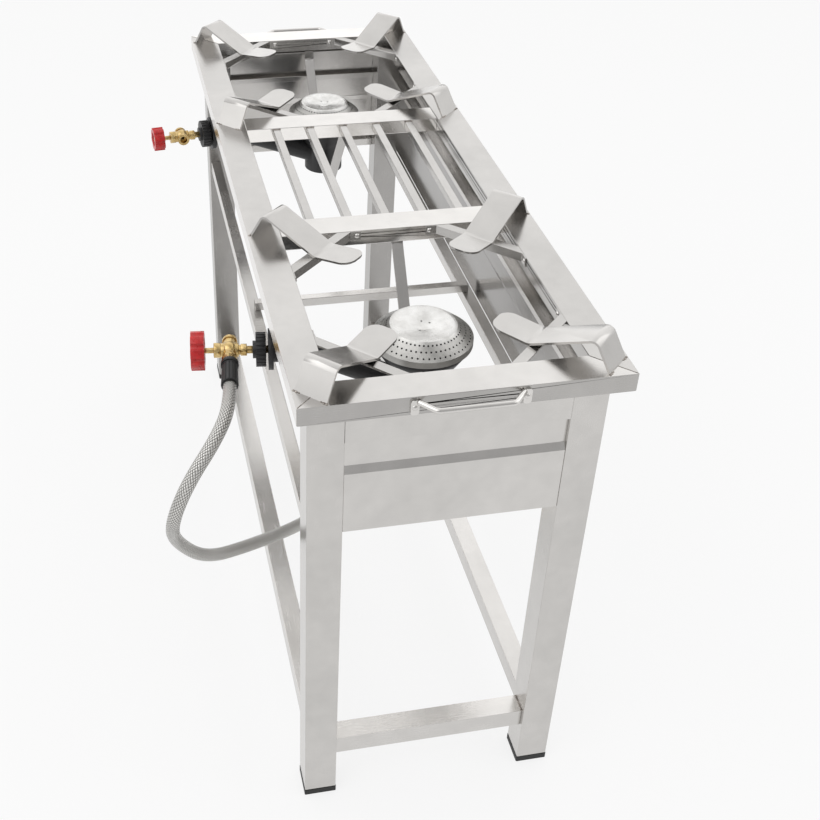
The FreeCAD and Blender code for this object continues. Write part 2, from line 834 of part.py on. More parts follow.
def burner_hanger(end):
    """Flat bar slung under a burner, drawn in the near window.

    One end hooks up behind the cross-member's lip, the other stands on the apron's edge.
    """
    lip = top_height - lip_depth
    seat = top_height - chamber_bottom - hanger_thick / 2
    half = hanger_flat / 2
    start = window_start_x - sheet - hanger_thick / 2
    end_face = leg_face_x - apron_thick - hanger_thick / 2
    y = hanger_y(end) - hanger_width / 2
    corner = lip - hanger_lip_clearance
    top = lip - hanger_end_gap
    line = [V(start, y, corner + hanger_start_tab), V(start, y, corner), V(burner_x - half, y, seat),
            V(burner_x + half, y, seat), V(end_face, y, top - hanger_end_tab), V(end_face, y, top)]
    bar = bent_strip(line, [hanger_bend] * 4, hanger_thick, V(0, hanger_width, 0))
    middle = V(burner_x, hanger_y(end), seat)
    reach = V(0, 0, hanger_thick)
    return bar.cut(rod(middle - reach, middle + reach, bolt_radius + bolt_clearance))


def hanger_bolt(end):
    """Bolt up through the hanger into the chamber's floor, in the near window."""
    foot = V(burner_x, hanger_y(end), top_height - chamber_bottom - hanger_thick)
    head = hexagon(foot - V(0, 0, bolt_head_height), UP, bolt_head_radius, bolt_head_height)
    shank = rod(foot, foot + V(0, 0, hanger_thick + bolt_grip), bolt_radius)
    return head.fuse(shank).removeSplitter()


def gas_rod(start, end, radius):
    """Cylinder on a burner's own gas line, between two distances from the burner's middle."""
    return rod(V(0, -start, -valve_drop), V(0, -end, -valve_drop), radius)


def air_shutter():
    """Ribbed disc with a collar that turns on the nipple and opens or closes the air gap."""
    end = shutter_at + shutter_thick
    collar_end = end + shutter_collar_length
    disc = gas_rod(shutter_at, end, shutter_radius)
    disc = disc.fuse(gas_rod(end, collar_end, shutter_collar_radius))
    grooves = [gas_rod(shutter_at, collar_end, nipple_radius + nipple_gap)]
    for i in range(shutter_ribs):
        groove = rod(V(shutter_radius, 0, 0), V(shutter_radius, -shutter_thick, 0), shutter_rib_radius)
        groove.rotate(ORIGIN, V(0, 1, 0), 360 * i / shutter_ribs)
        groove.translate(V(0, -shutter_at, -valve_drop))
        grooves.append(groove)
    return disc.cut(grooves)


def injector_nipple():
    """Brass nipple from the valve through the shutter, with a fine jet in the mouth."""
    collar_end = nipple_collar_at + nipple_collar_length
    stem = gas_rod(mouth_back, valve_face + nipple_socket, nipple_radius)
    jet = gas_rod(mouth_back - jet_length, mouth_back, jet_radius)
    collar = gas_rod(nipple_collar_at, collar_end, nipple_collar_radius)
    neck = gas_rod(collar_end, valve_face, nipple_neck_radius)
    way = gas_rod(mouth_back, valve_at, gas_way)
    nozzle = gas_rod(mouth_back - jet_length, mouth_back, jet_bore)
    return stem.fuse([jet, collar, neck]).cut([way, nozzle]).removeSplitter()


def valve_body(end):
    """Brass cross: a barrel on the gas line and a round rimmed port on each side."""
    z = -valve_drop
    reach = port_reach[end]
    middle = V(0, -valve_at, z)
    body = gas_rod(valve_face, valve_back, valve_radius).fuse(Part.makeSphere(valve_swell, middle))
    cuts = [gas_rod(valve_face, valve_face + nipple_socket, nipple_radius + thread_gap)]
    for side in (-1, 1):
        tip = V(side * reach, -valve_at, z)
        rim = rod(tip - V(side * port_rim_length, 0, 0), tip, port_rim_radius)
        body = body.fuse([rod(middle, tip, port_radius), rim])
        cuts.append(rod(tip, tip - V(side * port_depth[end], 0, 0), port_bore))
    cuts.append(rod(V(-reach, -valve_at, z), V(reach, -valve_at, z), gas_way))
    cuts.append(gas_rod(valve_face, valve_at, gas_way))
    bottom = valve_back - spindle_depth - spindle_end_gap
    cuts.append(gas_rod(bottom, valve_back, spindle_radius + spindle_gap))
    return body.cut(cuts).removeSplitter()


def gland_nut():
    """Round nut that holds the spindle's packing."""
    nut = gas_rod(valve_back, valve_back + gland_length, gland_radius)
    return nut.cut(gas_rod(valve_back, valve_back + gland_length, spindle_radius + spindle_gap))


def port_plug(end):
    """Hexagonal plug that closes the port pointing away from the viewer."""
    tip = V(-port_reach[end], -valve_at, -valve_drop)
    head = hexagon(tip - V(plug_head_length, 0, 0), V(1, 0, 0), plug_head, plug_head_length)
    thread = rod(tip, tip + V(plug_thread_length, 0, 0), port_bore - thread_gap)
    return head.fuse(thread).removeSplitter()


def spindle():
    """Valve stem and, as a second solid, the nut that holds the handwheel on it."""
    face = wheel_at + wheel_thick - wheel_recess
    end = face + wheel_nut_length + spindle_tip
    stem = gas_rod(valve_back - spindle_depth, end, spindle_radius)
    nut = hexagon(V(0, -face, -valve_drop), V(0, -1, 0), wheel_nut_hex, wheel_nut_length)
    return group([stem, nut.cut(gas_rod(face, end, spindle_radius + thread_gap))])


def handwheel(end):
    """Lobed wheel with a hub and a recess in both faces."""
    radius = wheel_radius[end]
    hollow = radius - wheel_rim
    back = wheel_at + wheel_thick
    cuts = []
    for i in range(wheel_lobes):
        middle = radius + wheel_scallop_out
        scallop = rod(V(middle, 0, 0), V(middle, -wheel_thick, 0), wheel_scallop)
        scallop.rotate(ORIGIN, V(0, 1, 0), 360 * i / wheel_lobes)
        scallop.translate(V(0, -wheel_at, -valve_drop))
        cuts.append(scallop)
    cuts.append(gas_rod(back - wheel_recess, back, hollow))
    ring = gas_rod(wheel_at, wheel_at + wheel_recess, hollow)
    cuts.append(ring.cut(gas_rod(wheel_at, wheel_at + wheel_recess, wheel_hub)))
    cuts.append(gas_rod(wheel_at, back, spindle_radius + thread_gap))
    return gas_rod(wheel_at, back, radius).cut(cuts)


def add_burners():
    bolts = []
    for end, sign_x in (("near", 1), ("far", -1)):
        body = at_burner(burner_body(end), sign_x)
        pieces = {"burner_cap": burner_cap(end), "air_shutter": air_shutter(),
                  "valve_body": valve_body(end), "valve_spindle": spindle(),
                  "handwheel": handwheel(end)}
        for name, shape in pieces.items():
            parts["%s_%s" % (name, end)] = at_burner(shape, sign_x)
        thread, hanger, bolt = bolt_thread(end), burner_hanger(end), hanger_bolt(end)
        if sign_x < 0:
            thread, hanger, bolt = mirrored_x(thread), mirrored_x(hanger), mirrored_x(bolt)
        parts["burner_body_%s" % end] = body.cut(thread).removeSplitter()
        parts["burner_hanger_%s" % end] = hanger
        bolts.append(bolt)
    parts["hanger_bolts"] = group(bolts)
    parts["injector_nipples"] = group(at_burner(injector_nipple(), sign_x) for sign_x in (1, -1))
    parts["gland_nuts"] = group(at_burner(gland_nut(), sign_x) for sign_x in (1, -1))
    parts["port_plugs"] = group([at_burner(port_plug("near"), 1), at_burner(port_plug("far"), -1)])


# Gas hose. It leaves the near valve's port toward +X, hangs in a loop beside the range, comes
# down to the floor and lies there below the front stretcher, ending in a loose swivel nut.

def port_point(distance):
    """Point on the near valve's port axis, at a distance from the valve's middle."""
    turn = math.radians(-burner_yaw)
    local = V(distance, -valve_at, 0)
    return V(burner_x + local.x * math.cos(turn) - local.y * math.sin(turn),
             local.x * math.sin(turn) + local.y * math.cos(turn), valve_z)


def hose_points():
    """Route of the hose's centre line, chosen by hand, from the sleeve to the floor."""
    start = port_point(hose_start)
    lead = port_point(hose_start + hose_lead)
    return [start, lead, V(496, -281, 628), V(527, -321, 588), V(524, -343, 526), V(468, -338, 447),
            V(447, -300, 391), V(418, -238, 377), V(388, -163, 375), V(340, -128, 353),
            V(283, -113, 292), V(258, -108, 198), V(240, -104, 110), V(209, -98, 46),
            V(157, -88, 13.4), V(96, -76, 9.2), V(34, -60, 13.2)]


def hose_radii(points):
    """Arc radius at each inner point: as large as its two runs allow."""
    radii = []
    for i in range(1, len(points) - 1):
        before = points[i] - points[i - 1]
        after = points[i + 1] - points[i]
        half_turn = before.getAngle(after) / 2
        radii.append(hose_bend_share * min(before.Length, after.Length) / math.tan(half_turn))
    return radii


def add_hose():
    points = hose_points()
    radii = hose_radii(points)
    hose = pipe(points, radii, hose_radius)
    length = Part.Wire(rounded_path(points, radii)).Length
    print("hose length %.1f, volume ratio %.5f" % (length, hose.Volume / (
        math.pi * hose_radius ** 2 * length)))
    print("hose radii", [round(radius) for radius in radii])
    parts["gas_hose"] = hose
    add_hose_start()
    end = points[-1]
    out = (points[-1] - points[-2]).normalize()
    middle = end + out * (hose_end_length / 2)
    ferrule = rod(end, middle, hose_ferrule_radius)
    swivel = hexagon(middle, out, hose_swivel_hex, hose_end_length / 2)
    mouth = rod(middle, end + out * hose_end_length, hose_swivel_bore)
    parts["hose_end_fitting"] = ferrule.fuse(swivel).cut(mouth).removeSplitter()


def add_hose_start():
    """Brass union on the near valve's port, and the ribbed sleeve that flares over the hose."""
    tip = port_point(near_port_reach)
    along = (port_point(hose_start) - tip).normalize()
    nut_end = tip + along * union_length
    collar_end = nut_end + along * hose_collar_length
    nut = hexagon(tip, along, union_hex, union_length)
    spigot = rod(tip - along * union_spigot_length, tip, port_bore - thread_gap)
    tail = rod(nut_end, nut_end + along * union_tail_length, union_tail_radius)
    way = rod(tip - along * union_spigot_length, nut_end + along * union_tail_length, gas_way)
    parts["hose_union"] = nut.fuse([spigot, tail]).cut(way).removeSplitter()
    collar = rod(nut_end, collar_end, hose_collar_radius)
    sleeve = Part.makeCone(hose_sleeve_start_radius, hose_sleeve_end_radius, hose_sleeve_length,
                           collar_end, along)
    grooves = [rod(nut_end, nut_end + along * union_tail_length, union_tail_radius + thread_gap)]
    flare = (hose_sleeve_end_radius - hose_sleeve_start_radius) / hose_sleeve_length
    ends = (hose_groove_lead, hose_sleeve_length + hose_groove_lead)
    for i in range(hose_sleeve_ribs):
        across = FreeCAD.Rotation(along, 360 * i / hose_sleeve_ribs).multVec(UP)
        start, end = [collar_end + along * far + across * (hose_sleeve_start_radius + flare * far)
                      for far in ends]
        grooves.append(rod(start, end, hose_sleeve_groove))
    parts["hose_nut"] = collar.fuse(sleeve).cut(grooves)


def main():
    add_top_frame()
    add_braces()
    add_supports()
    add_legs()
    add_aprons()
    add_stretchers()
    add_shields()
    add_ring()
    add_handles()
    add_burners()
    add_hose()
    hose_pieces = ("gas_hose", "hose_union", "hose_nut", "hose_end_fitting")
    box = group(shape for name, shape in parts.items() if name not in hose_pieces).BoundBox
    shift = V(-(box.XMin + box.XMax) / 2, -(box.YMin + box.YMax) / 2, -box.ZMin)
    print("moved by %.4f, %.4f, %.4f" % (shift.x, shift.y, shift.z))
    os.makedirs("parts", exist_ok=True)
    for name, shape in parts.items():
        shape.translate(shift)
        shape.exportStep("parts/%s.step" % name)


main()
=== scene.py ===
"""Looks of the two-burner stock pot range: finishes, hose, weld beads, studio and camera."""
import math

import bmesh
import bpy
from mathutils import Matrix, Vector


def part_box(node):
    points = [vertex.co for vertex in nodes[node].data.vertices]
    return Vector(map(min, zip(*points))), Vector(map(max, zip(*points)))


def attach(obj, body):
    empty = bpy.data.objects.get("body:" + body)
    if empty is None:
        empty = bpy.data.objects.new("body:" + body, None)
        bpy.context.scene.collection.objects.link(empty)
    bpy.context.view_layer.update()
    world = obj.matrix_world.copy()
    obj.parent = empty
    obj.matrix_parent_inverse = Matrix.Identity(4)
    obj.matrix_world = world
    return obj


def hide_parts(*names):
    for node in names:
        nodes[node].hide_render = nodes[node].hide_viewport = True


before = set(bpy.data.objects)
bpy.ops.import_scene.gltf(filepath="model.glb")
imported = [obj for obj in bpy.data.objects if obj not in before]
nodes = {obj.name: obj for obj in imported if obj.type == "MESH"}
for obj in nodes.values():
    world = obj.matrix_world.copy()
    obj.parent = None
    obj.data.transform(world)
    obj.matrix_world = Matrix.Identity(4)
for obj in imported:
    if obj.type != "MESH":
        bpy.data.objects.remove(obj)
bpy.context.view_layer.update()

# Places taken from the frame, in metres
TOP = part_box("top_rail_near")[1][2]
FRAME_Y = (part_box("top_rail_front")[0][1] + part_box("top_rail_back")[1][1]) / 2
ROOT = "range_frame"

# Sizes of what is added here, in metres
FOLD_RADIUS = 0.0012
SMALL_EDGE = 0.0004
SHEET_EDGE = 0.0009
BAR_EDGE = 0.0009
CAST_EDGE = 0.0012
HOSE_DIAMETER = 0.017
HOSE_SIDES = 28
HOSE_STRANDS = 7
HOSE_PITCH = 0.0105
BEAD_RADIUS = 0.0019
BEAD_STEP = 0.0027
BEAD_HEIGHT_SHARE = 0.55
BEAD_WOBBLE = 0.18
SEAM_RADIUS = 0.0006
SEAM_STEP = 0.0011
SUPPORT_WELD_LENGTH = 0.007
WELD_INSET = 0.002
SEAM_INNER_INSET = 0.001
SAME_PLACE = 0.00001

# Fineness of textures: features in a metre
GRAIN_ACROSS = 2400.0
GRAIN_ALONG = 14.0
TURNING_ACROSS = 2600.0
TURNING_ALONG = 60.0

# Studio: the lamps' places in metres and powers in watts, and strengths where 1 is white
KEY_PLACE, KEY_SIZE, KEY_POWER = (1.2, -2.2, 3.0), 3.6, 38
FILL_PLACE, FILL_SIZE, FILL_POWER = (0.5, 2.6, 2.4), 3.0, 14
LIT_HEIGHT_SHARE = 0.7
FLOOR_HALF_SIZE = 30
FLOOR_SHADE = 0.8
FLOOR_WHITE_SHARE = 0.8
ROOM_FAR_END, ROOM_NEAR_END, ROOM_SLANT_REACH = 1.2, 0.5, 0.85
ROOM_PATCHES = 0.12


# Shader helpers

def principled(name, color, metallic, roughness):
    """New material with a Principled shader; returns the material and the shader node."""
    material = bpy.data.materials.new(name)
    material.use_nodes = True
    shader = material.node_tree.nodes["Principled BSDF"]
    shader.inputs["Base Color"].default_value = (*color, 1)
    shader.inputs["Metallic"].default_value = metallic
    shader.inputs["Roughness"].default_value = roughness
    return material, shader


def add(material, kind, **settings):
    """New node in a material, with attributes set by name."""
    node = material.node_tree.nodes.new(kind)
    for key, value in settings.items():
        setattr(node, key, value)
    return node


def wire(material, source, target):
    """Joins an output socket to an input socket."""
    material.node_tree.links.new(source, target)


def maths(material, operation, first, second=None):
    """Output of a Math node whose inputs are sockets or numbers."""
    node = add(material, "ShaderNodeMath", operation=operation)
    for i, value in enumerate((first, second)):
        if value is None:
            continue
        if isinstance(value, (int, float)):
            node.inputs[i].default_value = value
        else:
            wire(material, value, node.inputs[i])
    return node.outputs[0]


def place(material, scale=(1, 1, 1)):
    """Object coordinates, stretched by a scale along each axis."""
    coordinates = add(material, "ShaderNodeTexCoord")
    mapping = add(material, "ShaderNodeMapping")
    mapping.inputs["Scale"].default_value = scale
    wire(material, coordinates.outputs["Object"], mapping.inputs["Vector"])
    return mapping.outputs["Vector"]


def noise(material, vector, scale=1.0, detail=3.0):
    """Noise value along a vector socket."""
    node = add(material, "ShaderNodeTexNoise")
    node.inputs["Scale"].default_value = scale
    node.inputs["Detail"].default_value = detail
    wire(material, vector, node.inputs["Vector"])
    return node.outputs["Fac"]


def speckle(material, scale, detail):
    """Noise value of the given fineness, alike in all directions."""
    return noise(material, place(material), scale, detail)


def spread(material, value, low, high, start=0.3, end=0.7):
    """Maps a value from start..end onto low..high."""
    node = add(material, "ShaderNodeMapRange")
    node.inputs["From Min"].default_value = start
    node.inputs["From Max"].default_value = end
    node.inputs["To Min"].default_value = low
    node.inputs["To Max"].default_value = high
    wire(material, value, node.inputs["Value"])
    return node.outputs["Result"]


def tint(material, value, dark, light):
    """Colour between two colours by a value from 0 to 1."""
    node = add(material, "ShaderNodeMix", data_type="RGBA")
    node.inputs["A"].default_value = (*dark, 1)
    node.inputs["B"].default_value = (*light, 1)
    wire(material, value, node.inputs["Factor"])
    return node.outputs["Result"]


def shade(material, shader, value, dark, light):
    """Base colour between two colours by a noise value."""
    colour = tint(material, spread(material, value, 0.0, 1.0), dark, light)
    wire(material, colour, shader.inputs["Base Color"])


def polish(material, shader, value, low, high):
    """Roughness between two numbers by a noise value."""
    wire(material, spread(material, value, low, high), shader.inputs["Roughness"])


def between(material, value, first, second):
    """Colour socket between two colour sockets by a value from 0 to 1."""
    node = add(material, "ShaderNodeMix", data_type="RGBA")
    wire(material, first, node.inputs["A"])
    wire(material, second, node.inputs["B"])
    wire(material, value, node.inputs["Factor"])
    return node.outputs["Result"]


def upward(material):
    """How much a face looks up: 0 on an upright face, 1 on a level one."""
    coordinates = add(material, "ShaderNodeTexCoord")
    split = add(material, "ShaderNodeSeparateXYZ")
    wire(material, coordinates.outputs["Normal"], split.inputs["Vector"])
    return spread(material, split.outputs["Z"], 0.0, 1.0, 0.25, 0.9)


def from_axis(material, centre, across):
    """Distance of a point from an upright axis, stretched so that "across" metres become 1."""
    coordinates = add(material, "ShaderNodeTexCoord")
    mapping = add(material, "ShaderNodeMapping")
    mapping.inputs["Location"].default_value = (-centre.x / across, -centre.y / across, 0)
    mapping.inputs["Scale"].default_value = (1 / across, 1 / across, 0)
    wire(material, coordinates.outputs["Object"], mapping.inputs["Vector"])
    length = add(material, "ShaderNodeVectorMath", operation="LENGTH")
    wire(material, mapping.outputs["Vector"], length.inputs[0])
    return length.outputs["Value"]


def relief(material, shader, height, distance, strength=1.0):
    """Bump from a height socket."""
    node = add(material, "ShaderNodeBump")
    node.inputs["Distance"].default_value = distance
    node.inputs["Strength"].default_value = strength
    wire(material, height, node.inputs["Height"])
    wire(material, node.outputs["Normal"], shader.inputs["Normal"])


# Materials

def satin_steel(name, grain, top=0.66, side=0.6, top_rough=0.24, side_rough=0.24):
    """Ground stainless sheet with fine lines along one axis (0 X, 1 Y, 2 Z).

    Level faces and upright faces have their own polish, and their own tone as painted light and shade.
    """
    material, shader = principled(name, (top, top, top), 1.0, top_rough)
    stretch = [GRAIN_ACROSS] * 3
    stretch[grain] = GRAIN_ALONG
    lines = noise(material, place(material, stretch))
    clouds = speckle(material, 6.0, 4.0)
    smears = speckle(material, 38.0, 4.0)
    cloudy = maths(material, "ADD", maths(material, "MULTIPLY", clouds, 0.65),
                   maths(material, "MULTIPLY", smears, 0.35))
    face = upward(material)
    rough = spread(material, face, side_rough, top_rough, 0.0, 1.0)
    rough = maths(material, "ADD", rough, spread(material, lines, -0.02, 0.02))
    rough = maths(material, "ADD", rough, spread(material, cloudy, -0.03, 0.04))
    wire(material, rough, shader.inputs["Roughness"])
    cloud = spread(material, cloudy, 0.0, 1.0)
    # Painted light and shade: upright faces get a darker or lighter colour than level faces, for how the
    # light falls on them.
    lit_and_shaded_tones = [tint(material, cloud, steel_tone(tone * 0.88), steel_tone(tone * 1.06)) for tone in (side, top)]
    wire(material, between(material, face, *lit_and_shaded_tones), shader.inputs["Base Color"])
    relief(material, shader, lines, 0.00001, 0.25)
    return material


def steel_tone(light):
    """Slightly warm grey."""
    return (light, light * 0.975, light * 0.945)


def cast_aluminium(name, centre, radius):
    """Burner cap: turned in the dish and rougher on the slope and rim; its colour is lighter in the dish,
    partly the turned finish and partly a painted reflection, and darker on the slope and rim, partly duller
    metal and partly painted shade.
    """
    material, shader = principled(name, (0.7, 0.7, 0.69), 1.0, 0.3)
    away = from_axis(material, centre, radius)
    turned = speckle(material, 55.0, 5.0)
    grains = speckle(material, 900.0, 3.0)
    patches = speckle(material, 48.0, 4.0)
    uneven = maths(material, "ADD", away, maths(material, "MULTIPLY", turned, 0.05))
    rings = maths(material, "SINE", maths(material, "MULTIPLY", uneven, 260.0))
    rough = maths(material, "ADD", spread(material, away, 0.2, 0.42, 0.5, 1.0),
                  spread(material, patches, -0.05, 0.08))
    wire(material, rough, shader.inputs["Roughness"])
    patchy = spread(material, patches, 0.0, 1.0)
    # Light dish colour: partly the turned finish, partly a painted reflection of the bright room above; dark
    # slope and rim colour: partly duller metal, partly painted shade.
    bright = tint(material, patchy, (0.62, 0.61, 0.59), (0.86, 0.855, 0.84))
    dull_and_shaded = tint(material, patchy, (0.36, 0.355, 0.34), (0.56, 0.55, 0.53))
    wire(material, between(material, spread(material, away, 0.0, 1.0, 0.6, 0.75), bright, dull_and_shaded),
         shader.inputs["Base Color"])
    height = maths(material, "ADD", grains, maths(material, "MULTIPLY", rings, 0.15))
    relief(material, shader, height, 0.00012, 0.6)
    return material


def cast_iron():
    """Black enamelled casting with a sandy skin."""
    material, shader = principled("black_cast_iron", (0.009, 0.009, 0.01), 0.0, 0.5)
    sand = speckle(material, 620.0, 3.0)
    patches = speckle(material, 45.0, 3.0)
    polish(material, shader, patches, 0.36, 0.58)
    shade(material, shader, patches, (0.006, 0.006, 0.007), (0.02, 0.02, 0.021))
    relief(material, shader, sand, 0.0004, 0.5)
    return material


def brass(name, grain):
    """Machined brass, darker in patches, with turning marks across one axis."""
    material, shader = principled(name, (0.68, 0.5, 0.23), 1.0, 0.24)
    stretch = [TURNING_ALONG] * 3
    stretch[grain] = TURNING_ACROSS
    marks = noise(material, place(material, stretch), detail=2.0)
    patches = speckle(material, 130.0, 4.0)
    polish(material, shader, patches, 0.14, 0.34)
    shade(material, shader, patches, (0.4, 0.26, 0.09), (0.8, 0.61, 0.3))
    relief(material, shader, marks, 0.00006, 0.4)
    return material


def red_enamel():
    """Glossy red handwheel with faint scuffs."""
    material, shader = principled("red_enamel", (0.55, 0.01, 0.012), 0.0, 0.35)
    scuffs = speckle(material, 160.0, 4.0)
    polish(material, shader, scuffs, 0.2, 0.42)
    shade(material, shader, scuffs, (0.42, 0.006, 0.008), (0.62, 0.014, 0.014))
    relief(material, shader, scuffs, 0.0001, 0.3)
    shader.inputs["Coat Weight"].default_value = 0.15
    shader.inputs["Coat Roughness"].default_value = 0.2
    return material


def black_rubber(name, roughness):
    """Moulded black rubber or plastic with a fine matt skin."""
    material, shader = principled(name, (0.012, 0.012, 0.013), 0.0, roughness)
    skin = speckle(material, 1100.0, 2.0)
    dust = speckle(material, 70.0, 3.0)
    shade(material, shader, dust, (0.009, 0.009, 0.01), (0.024, 0.024, 0.023))
    polish(material, shader, dust, roughness - 0.08, roughness + 0.1)
    relief(material, shader, skin, 0.0001, 0.4)
    return material


def weld_metal():
    """Heat-tinted weld bead."""
    material, shader = principled("weld_metal", (0.3, 0.27, 0.24), 1.0, 0.4)
    burn = speckle(material, 260.0, 3.0)
    shade(material, shader, burn, (0.12, 0.1, 0.09), (0.5, 0.46, 0.42))
    polish(material, shader, burn, 0.28, 0.5)
    return material


def braid():
    """Wire braid: bright diamonds between two families of crossing gaps, whose dark colour is painted shade
    in the grooves between strands.
    """
    material, shader = principled("steel_braid", (0.6, 0.59, 0.56), 1.0, 0.3)
    coordinates = add(material, "ShaderNodeTexCoord")
    split = add(material, "ShaderNodeSeparateXYZ")
    wire(material, coordinates.outputs["UV"], split.inputs["Vector"])
    around = maths(material, "MULTIPLY", split.outputs["X"], HOSE_STRANDS)
    along = maths(material, "MULTIPLY", split.outputs["Y"], 1 / HOSE_PITCH)
    gaps = []
    for direction in ("ADD", "SUBTRACT"):
        turns = maths(material, "MULTIPLY", maths(material, direction, around, along), 2 * math.pi)
        gaps.append(maths(material, "ABSOLUTE", maths(material, "SINE", turns)))
    height = maths(material, "MINIMUM", *gaps)
    # Dark colour in the gaps is painted shade in the grooves between strands.
    wires_and_gap_shade = tint(material, spread(material, height, 0.0, 1.0, 0.08, 0.5), (0.05, 0.047, 0.042),
                 (0.7, 0.69, 0.665))
    wire(material, wires_and_gap_shade, shader.inputs["Base Color"])
    wire(material, spread(material, height, 0.45, 0.25, 0.0, 0.6), shader.inputs["Roughness"])
    relief(material, shader, height, 0.0006, 0.9)
    return material


# Lit and shaded copies of one satin steel: each part's top and side tones are painted light and shade, and
# the far legs are painted darker as painted shade.
STEEL = [satin_steel("satin_steel_x", 0, top=0.74, side=0.62),
         satin_steel("satin_steel_y", 1, top=0.86, side=0.62),
         satin_steel("satin_steel_z", 2)]
BARS = satin_steel("satin_steel_bars", 0, top=0.58, side=0.6)
SHADED_FAR_LEGS = satin_steel("satin_steel_far_legs_shaded", 2, top=0.6, side=0.4)
END_RAIL = satin_steel("satin_steel_end_rail", 1, top=0.67, side=0.46, top_rough=0.2, side_rough=0.26)
FAR_RAIL = satin_steel("satin_steel_far_rail", 1, top=0.9, side=0.46, top_rough=0.2, side_rough=0.26)
FRONT_RAIL = satin_steel("satin_steel_front_rail", 0, top=0.6, side=0.8, top_rough=0.22, side_rough=0.2)
BACK_RAIL = satin_steel("satin_steel_back_rail", 0, top=0.57, side=0.5, top_rough=0.22, side_rough=0.14)
CROSS = satin_steel("satin_steel_cross_members", 1, top=0.75, side=0.92, top_rough=0.2, side_rough=0.12)
SHIELD = satin_steel("satin_steel_shields", 1, top=0.72, side=0.62, top_rough=0.22, side_rough=0.2)
BACK_SHIELD = satin_steel("satin_steel_back_shield", 0, top=0.55, side=0.32, top_rough=0.2, side_rough=0.15)
SUPPORT = satin_steel("satin_steel_supports", 2, top=0.62, side=0.46, top_rough=0.2, side_rough=0.22)
BRACE = satin_steel("satin_steel_braces", 2, top=0.55, side=0.5, top_rough=0.24, side_rough=0.2)
BRIGHT = satin_steel("bright_steel", 1, top=0.75, side=0.7, top_rough=0.15, side_rough=0.15)
IRON = cast_iron()
BRASS_TURNED = brass("brass_turned", 1)
BRASS_CROSS = brass("brass_cross", 0)
RED = red_enamel()
RUBBER = black_rubber("black_rubber", 0.6)
SLEEVE = black_rubber("black_sleeve", 0.5)
WELD = weld_metal()
BRAID = braid()


# Finishes of the CAD nodes

def round_edges(piece, width):
    """Joins split corners and rounds the edges of a piece with modifiers."""
    weld = piece.modifiers.new("join", "WELD")
    weld.merge_threshold = SAME_PLACE
    bevel = piece.modifiers.new("edges", "BEVEL")
    bevel.width = width
    bevel.segments = 2
    bevel.limit_method = "ANGLE"
    bevel.angle_limit = math.radians(35)
    bevel.harden_normals = True
    bevel.use_clamp_overlap = True


def longest_axis(name):
    """Axis along which a node is longest."""
    low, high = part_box(name)
    sizes = [high[i] - low[i] for i in range(3)]
    return sizes.index(max(sizes))


def finish_of(name):
    """Material of a CAD node by its name, then the width of its rounded edges."""
    if name.startswith(("handle_", "rivets", "hanger_bolts")):
        return BRIGHT, SMALL_EDGE
    if name.startswith("pot_support"):
        return SUPPORT, BAR_EDGE
    if name.startswith(("corner_braces", "burner_hanger")):
        return BRACE, SMALL_EDGE
    if name.startswith("grill_bars"):
        return BARS, FOLD_RADIUS
    if name.startswith("burner_cap"):
        low, high = (Vector(corner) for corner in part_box(name))
        middle, radius = (low + high) / 2, (high.x - low.x) / 2
        return cast_aluminium("aluminium_" + name, middle, radius), 0
    if name.startswith("leg_far"):
        return SHADED_FAR_LEGS, FOLD_RADIUS
    sheets = {"top_rail_near": END_RAIL, "top_rail_far": FAR_RAIL, "top_rail_front": FRONT_RAIL,
              "top_rail_back": BACK_RAIL, "cross_member_near": CROSS, "cross_member_far": CROSS,
              "wind_shield_near": SHIELD, "wind_shield_far": SHIELD, "wind_shield_back": BACK_SHIELD}
    if name in sheets:
        return sheets[name], SHEET_EDGE
    if name.startswith("burner_body"):
        return IRON, CAST_EDGE
    if name.startswith("air_shutter"):
        return IRON, SMALL_EDGE
    if name.startswith(("valve_body", "port_plugs", "hose_union")):
        return BRASS_CROSS, SMALL_EDGE
    if name.startswith(("injector", "gland", "valve_spindle")):
        return BRASS_TURNED, SMALL_EDGE
    if name.startswith("handwheel"):
        return RED, SMALL_EDGE
    if name.startswith("foot_caps"):
        return RUBBER, FOLD_RADIUS
    if name.startswith("hose_end"):
        return BRASS_CROSS, SMALL_EDGE
    if name.startswith("hose_nut"):
        return SLEEVE, SMALL_EDGE
    if name.startswith(("leg_", "stretcher", "ring_tube")):
        return STEEL[longest_axis(name)], FOLD_RADIUS
    return STEEL[longest_axis(name)], SMALL_EDGE


def finish_nodes():
    """Gives every CAD node its material and its rounded edges."""
    for name, piece in nodes.items():
        material, edge = finish_of(name)
        for material_place in piece.material_slots:
            material_place.material = material
        if edge:
            round_edges(piece, edge)


# Gas hose: the route of the CAD tube, smoothed

def hose_route():
    """Points of the hose's route: millimetres from the range's centre line, turned into metres."""
    centre_line = Vector((0, FRAME_Y, 0))
    return [centre_line + Vector(point) / 1000 for point in (
        (409.63, -254.17, 641), (453.30, -259.53, 641), (496, -281, 628), (527, -321, 588),
        (524, -343, 526), (468, -338, 447), (447, -300, 391), (418, -238, 377),
        (388, -163, 375), (340, -128, 353), (283, -113, 292), (258, -108, 198),
        (240, -104, 110), (209, -98, 46), (157, -88, 13.4), (96, -76, 9.2), (34, -60, 13.2))]


def smooth_line(points):
    """Points along a NURBS curve with the given control points."""
    curve = bpy.data.curves.new("hose_line", "CURVE")
    curve.dimensions = "3D"
    curve.resolution_u = 24
    spline = curve.splines.new("NURBS")
    spline.points.add(len(points) - 1)
    for target, point in zip(spline.points, points):
        target.co = (*point, 1)
    spline.order_u = 3
    spline.use_endpoint_u = True
    holder = bpy.data.objects.new("hose_line", curve)
    bpy.context.scene.collection.objects.link(holder)
    bpy.context.view_layer.update()
    line = bpy.data.meshes.new_from_object(holder)
    path = [vertex.co.copy() for vertex in line.vertices]
    bpy.data.objects.remove(holder)
    return path


